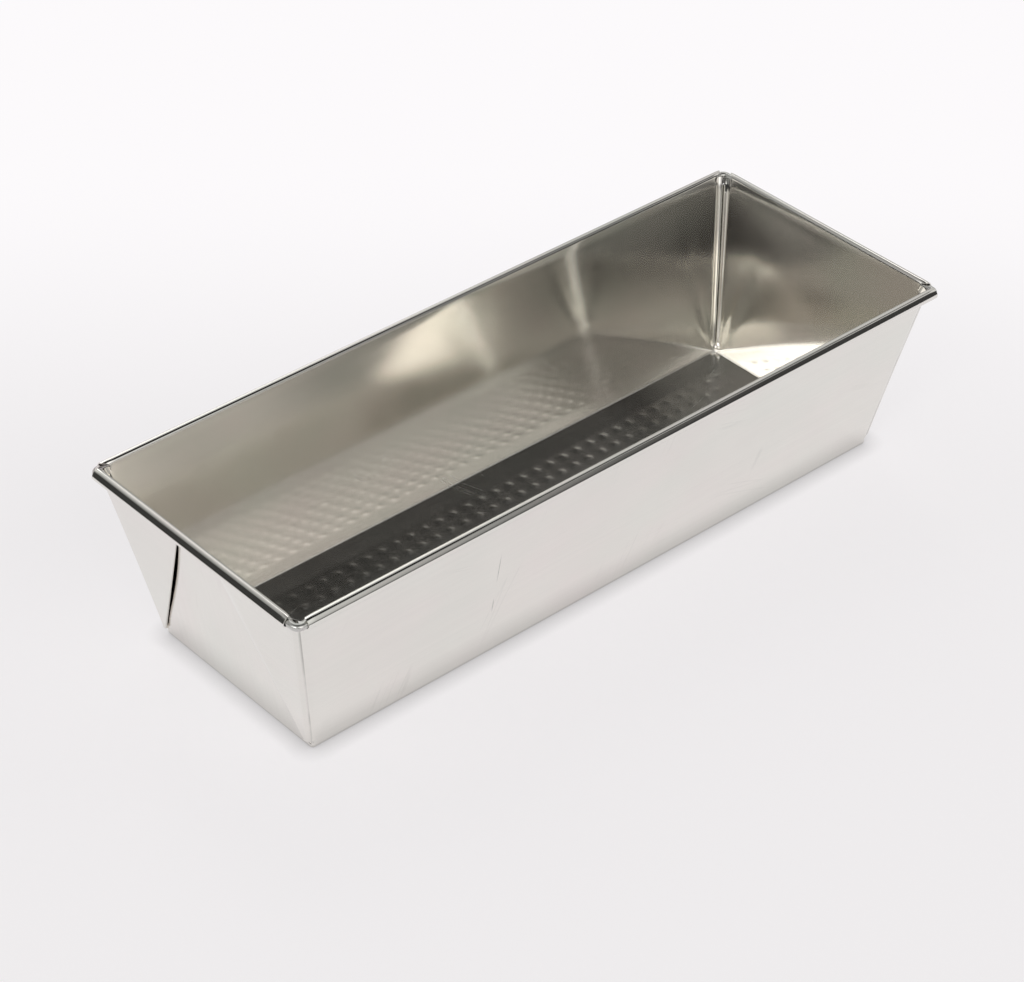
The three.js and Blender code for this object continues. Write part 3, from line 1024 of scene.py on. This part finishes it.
class LOAFPAN_OT_folded_sheet(bpy.types.Operator):
    """Builds the sheet: embossed floor, walls, folded corners and hems, in one piece"""

    bl_idname = "loafpan.folded_sheet"
    bl_label = "Folded Sheet"

    def execute(self, context):
        scene = context.scene
        sheet = scene.loafpan_sheet
        shape = PanShape(sheet, scene.loafpan_rim)
        material = tin_material(scene.loafpan_finish)

        middle = MidSheet()
        walls = middle.band([
            *(shape.bend_row(tilt) for tilt in spread(RIGHT_ANGLE, shape.mean_flare, BEND_STEPS)[:-1]),
            *(shape.wall_row(z) for z in spread(shape.bend_top, sheet.fold_closed_height, FOLD_ROWS)),
            *(shape.wall_row(z) for z in spread(
                sheet.fold_closed_height, shape.notch_height, WALL_ROWS)[1:]),
            *(shape.hem_row(number) for number in range(len(shape.long_hem))),
        ])
        middle.band([
            shape.wall_row(lerp(shape.notch_height, shape.corner_top, share), corner_only=True)
            for share in (0.0, SLIT_CLOSED, 1.0)
        ])
        self.add_floor(middle, walls[0], self.field_mesh(scene, material))

        points, faces = middle.thickened(sheet.thickness)
        mesh = bpy.data.meshes.new("pan_sheet")
        mesh.from_pydata(shape.leant(points), [], faces)
        mesh.materials.append(material)
        mesh.shade_smooth()
        mesh.set_sharp_from_angle(angle=SHARP_EDGE)
        blank = mesh.attributes.new("blank", "FLOAT_VECTOR", "POINT")
        flat = np.array(middle.blank)
        blank.data.foreach_set("vector", np.concatenate((flat, flat)).ravel())
        dress(new_object("pan_sheet", mesh), "folded_sheet")
        return {"FINISHED"}

    def field_mesh(self, scene, material):
        """The field of dots, which ends well short of the floor's bend."""
        emboss = scene.loafpan_emboss
        base = new_object("embossed_field", bpy.data.meshes.new("embossed_field"))
        mesh = embossed_field_graph().mesh(base, {
            "Pitch": emboss.pitch,
            "Dot Width": emboss.dot_width,
            "Dot Height": emboss.dot_height,
            "Columns": emboss.columns,
            "Rows": emboss.rows,
            "Floor Level": scene.loafpan_sheet.thickness / 2,
            "Material": material,
        })
        bpy.data.objects.remove(base)
        return mesh

    def add_floor(self, middle, floor_edge, field):
        """Adds the field of dots to the sheet, and plain floor between it and the bend."""
        numbers = [
            middle.add(tuple(v.co), tuple(-v.normal), (v.co.x, v.co.y, 0.0)) for v in field.vertices
        ]
        for polygon in field.polygons:
            middle.faces.append(tuple(numbers[corner] for corner in reversed(polygon.vertices)))
        loops = [list(dict.fromkeys(floor_edge)), [numbers[i] for i in self.border(field)]]
        ends = [Vector(middle.points[number]) for loop in loops for number in loop]
        order = [number for loop in loops for number in loop]
        outlines = [[Vector(middle.points[number]) for number in loop] for loop in loops]
        for corners in tessellate_polygon(outlines):
            a, b, c = (ends[corner] for corner in corners)
            upwards = (b - a).cross(c - a).z > 0
            face = tuple(order[corner] for corner in corners)
            middle.faces.append(face[::-1] if upwards else face)

    def border(self, field):
        """The vertices of a mesh's outer edge, in order."""
        uses = {}
        for polygon in field.polygons:
            for key in polygon.edge_keys:
                uses[key] = uses.get(key, 0) + 1
        beside = {}
        for start, end in (key for key, count in uses.items() if count == 1):
            beside.setdefault(start, []).append(end)
            beside.setdefault(end, []).append(start)
        loop = [min(beside)]
        before = None
        while len(loop) == 1 or loop[-1] != loop[0]:
            here = loop[-1]
            first, second = beside[here]
            loop.append(second if first == before else first)
            before = here
        return loop[:-1]


class LOAFPAN_OT_rim_wire(bpy.types.Operator):
    """Builds the wire that the hems are rolled over"""

    bl_idname = "loafpan.rim_wire"
    bl_label = "Rim Wire"

    def execute(self, context):
        scene = context.scene
        rim = scene.loafpan_rim
        shape = PanShape(scene.loafpan_sheet, rim)
        path = shape.leant(shape.wire_path())
        line = bpy.data.meshes.new("wire_path")
        line.from_pydata(path, [(i, i + 1) for i in range(len(path) - 1)], [])
        wire = new_object("pan_rim_wire", line)
        wire.data = swept_wire_graph().mesh(wire, {
            "Diameter": rim.wire_diameter,
            "Sides": WIRE_SIDES,
            "Material": wire_material(scene.loafpan_finish),
        })
        wire.data.set_sharp_from_angle(angle=SHARP_EDGE)
        dress(wire, "rim_wire")
        return {"FINISHED"}


# The photograph's viewpoint
CAMERA_PLACE = Vector((-0.62138, -0.70395, 0.71998))
CAMERA_AZIMUTH = math.radians(-41.0245)
CAMERA_ELEVATION = math.radians(36.7015)
CAMERA_ROLL = math.radians(0.0688)
CAMERA_LENS = 110.472
CAMERA_SENSOR = 36.0

# The pale floor that the pan stands on
STAGE_REACH = 4.0
STAGE_LEVEL = -0.05 * MM
STAGE_COLOUR = (0.985, 0.965, 0.98)
STAGE_NEAR, STAGE_FAR = 0.0, 0.27
STAGE_NEAR_GLOW, STAGE_FAR_GLOW = 0.65, 0.97
# A painted contact shadow on the floor's own light, as far as ambient occlusion reaches round the pan
CONTACT_SHADOW_REACH = 8 * MM
CONTACT_SHADOW_DEPTH = 0.65

# The room that the metal mirrors
ROOM_COLOUR = (1.0, 0.995, 0.975)
ROOM_LEVEL = 0.045


def facing(azimuth, elevation):
    """A direction from the pan. The azimuth goes from -Y towards +X, in degrees."""
    turn = math.radians(azimuth)
    rise = math.radians(elevation)
    return Vector((math.sin(turn) * math.cos(rise), -math.cos(turn) * math.cos(rise), math.sin(rise)))


class Glow(NamedTuple):
    """A soft round patch of light on the room, or of shade where its level is below nothing.

    It is full inside one angle and gone at another, all in degrees.
    """

    azimuth: float
    elevation: float
    inner: float
    outer: float
    level: float


# The pale surroundings as the metal mirrors them
GLOWS = (
    Glow(156, 12, 41, 56, 0.5),
    Glow(-44, 17, 3.4, 15.7, 0.65),
    Glow(0, 29, 3, 37, 1.55),
    Glow(-106, 27, 3.2, 24.4, 1.3),
    Glow(-155, 34, 14, 27, 0.33),
    Glow(49, 38, 3, 7, 0.6),
    Glow(75, 22, 21.5, 26.5, 0.72),
    Glow(-88, 52, 20.6, 42.8, 0.2),
    Glow(90, 53, 8, 13, 0.2),
    Glow(-73, 36, 10.6, 16.2, 2.1),
    Glow(112, 51, 15, 20, 0.33),
    Glow(-70, 26, 8.5, 11, 3.2),
    Glow(-20, 35, 5, 10, 1.0),
    Glow(-60, 37, 2, 7, 0.8),
    Glow(147, 39, 7.5, 11.5, 1.5),
    Glow(143.5, 37, 4.5, 9, -1.45),
    Glow(140, 53, 5, 9, 0.8),
    Glow(152, 24, 5, 9, 1.2),
    Glow(56, 51, 12, 18, -0.04),
)


class LOAFPAN_OT_studio(bpy.types.Operator):
    """Sets the floor, the light and the camera"""

    bl_idname = "loafpan.studio"
    bl_label = "Studio"

    def execute(self, context):
        self.add_camera(context.scene)
        self.add_floor()
        self.add_world(context.scene)
        context.scene.view_settings.view_transform = "Standard"
        return {"FINISHED"}

    def add_camera(self, scene):
        camera = bpy.data.cameras.new("camera")
        camera.lens = CAMERA_LENS
        camera.sensor_width = CAMERA_SENSOR
        level = math.cos(CAMERA_ELEVATION)
        back = Vector((
            math.sin(CAMERA_AZIMUTH) * level,
            -math.cos(CAMERA_AZIMUTH) * level,
            math.sin(CAMERA_ELEVATION),
        ))
        right = Vector((0, 0, 1)).cross(back).normalized()
        up = back.cross(right)
        turned = Matrix((right, up, back)).transposed()
        roll = Matrix.Rotation(-CAMERA_ROLL, 3, "Z")
        made = new_object("camera", camera)
        made.matrix_world = Matrix.Translation(CAMERA_PLACE) @ (turned @ roll).to_4x4()
        scene.camera = made

    def add_floor(self):
        """A white floor. Part of its light is its own, more towards the back and less close to the pan, and
        a painted contact shadow darkens it round the pan's base.
        """
        mesh = bpy.data.meshes.new("floor")
        reach = STAGE_REACH
        corners = [(-reach, -reach), (reach, -reach), (reach, reach), (-reach, reach)]
        mesh.from_pydata([(x, y, STAGE_LEVEL) for x, y in corners], [], [(0, 1, 2, 3)])
        material, graph, target = new_material("floor")
        path = graph.node("ShaderNodeLightPath").outputs
        seen = graph.math(
            "MAXIMUM", Value(graph, path["Is Camera Ray"]), Value(graph, path["Is Glossy Ray"]))
        x, y, _ = graph.parts(graph.node("ShaderNodeTexCoord").outputs["Object"])
        depth = y * math.cos(CAMERA_AZIMUTH) - x * math.sin(CAMERA_AZIMUTH)
        share = graph.fade(depth, STAGE_NEAR, STAGE_FAR, STAGE_NEAR_GLOW, STAGE_FAR_GLOW)
        lit = graph.node("ShaderNodeBsdfDiffuse", inputs={"Color": (*STAGE_COLOUR, 1.0)})
        # painted contact shadow: ambient occlusion darkens the floor's own light where the pan hides it
        clear = graph.value("ShaderNodeAmbientOcclusion", inputs={"Distance": CONTACT_SHADOW_REACH}, output="AO")
        contact_shadow = clear * CONTACT_SHADOW_DEPTH + (1 - CONTACT_SHADOW_DEPTH)
        glow = graph.node("ShaderNodeEmission", inputs={
            "Color": graph.shaded(STAGE_COLOUR, contact_shadow), "Strength": 1.0})
        shader = graph.node("ShaderNodeMixShader", inputs={
            "Fac": seen * share, 1: lit.outputs[0], 2: glow.outputs[0]})
        graph.feed(target.inputs["Surface"], shader.outputs[0])
        mesh.materials.append(material)
        new_object("floor", mesh)

    def add_world(self, scene):
        """A dim room, with the glow of the pale surroundings."""
        world = bpy.data.worlds.new("studio")
        world.use_nodes = True
        world.node_tree.nodes.clear()
        graph = Graph(world.node_tree)
        target = graph.node("ShaderNodeOutputWorld")
        direction = graph.node("ShaderNodeTexCoord").outputs["Generated"]
        level = ROOM_LEVEL
        for glow in GLOWS:
            towards = facing(glow.azimuth, glow.elevation)
            nearness = graph.node("ShaderNodeVectorMath", {"operation": "DOT_PRODUCT"}, {
                0: direction, 1: towards}).outputs["Value"]
            edge, middle = (math.cos(math.radians(angle)) for angle in (glow.outer, glow.inner))
            level = level + graph.fade(nearness, edge, middle) * glow.level
        shader = graph.node("ShaderNodeBackground", inputs={
            "Color": graph.shaded(ROOM_COLOUR, level), "Strength": 1.0})
        graph.feed(target.inputs["Surface"], shader.outputs[0])
        scene.world = world


class LOAFPAN_PT_sidebar(bpy.types.Panel):
    """Sizes and finishes of the pan, and its builders"""

    bl_label = "Loaf Pan"
    bl_idname = "LOAFPAN_PT_sidebar"
    bl_space_type = "VIEW_3D"
    bl_region_type = "UI"
    bl_category = "Loaf Pan"

    def draw(self, context):
        layout = self.layout
        for name, (group, label) in SETTINGS.items():
            box = layout.box()
            box.label(text=label)
            settings = getattr(context.scene, name)
            for setting in group.__annotations__:
                box.prop(settings, setting)
        for operator in OPERATORS:
            layout.operator(operator.bl_idname)


SETTINGS = {
    "loafpan_sheet": (LOAFPAN_PG_sheet, "Sheet"),
    "loafpan_rim": (LOAFPAN_PG_rim, "Rim"),
    "loafpan_emboss": (LOAFPAN_PG_emboss, "Embossing"),
    "loafpan_finish": (LOAFPAN_PG_finish, "Finish"),
}
OPERATORS = (LOAFPAN_OT_folded_sheet, LOAFPAN_OT_rim_wire, LOAFPAN_OT_studio)


def register():
    for name, (group, _) in SETTINGS.items():
        bpy.utils.register_class(group)
        setattr(bpy.types.Scene, name, PointerProperty(type=group))
    for operator in OPERATORS:
        bpy.utils.register_class(operator)
    bpy.utils.register_class(LOAFPAN_PT_sidebar)


def unregister():
    bpy.utils.unregister_class(LOAFPAN_PT_sidebar)
    for operator in reversed(OPERATORS):
        bpy.utils.unregister_class(operator)
    for name, (group, _) in SETTINGS.items():
        delattr(bpy.types.Scene, name)
        bpy.utils.unregister_class(group)


def main():
    register()
    bpy.ops.loafpan.folded_sheet()
    bpy.ops.loafpan.rim_wire()
    bpy.ops.loafpan.studio()


if __name__ == "__main__":
    main()
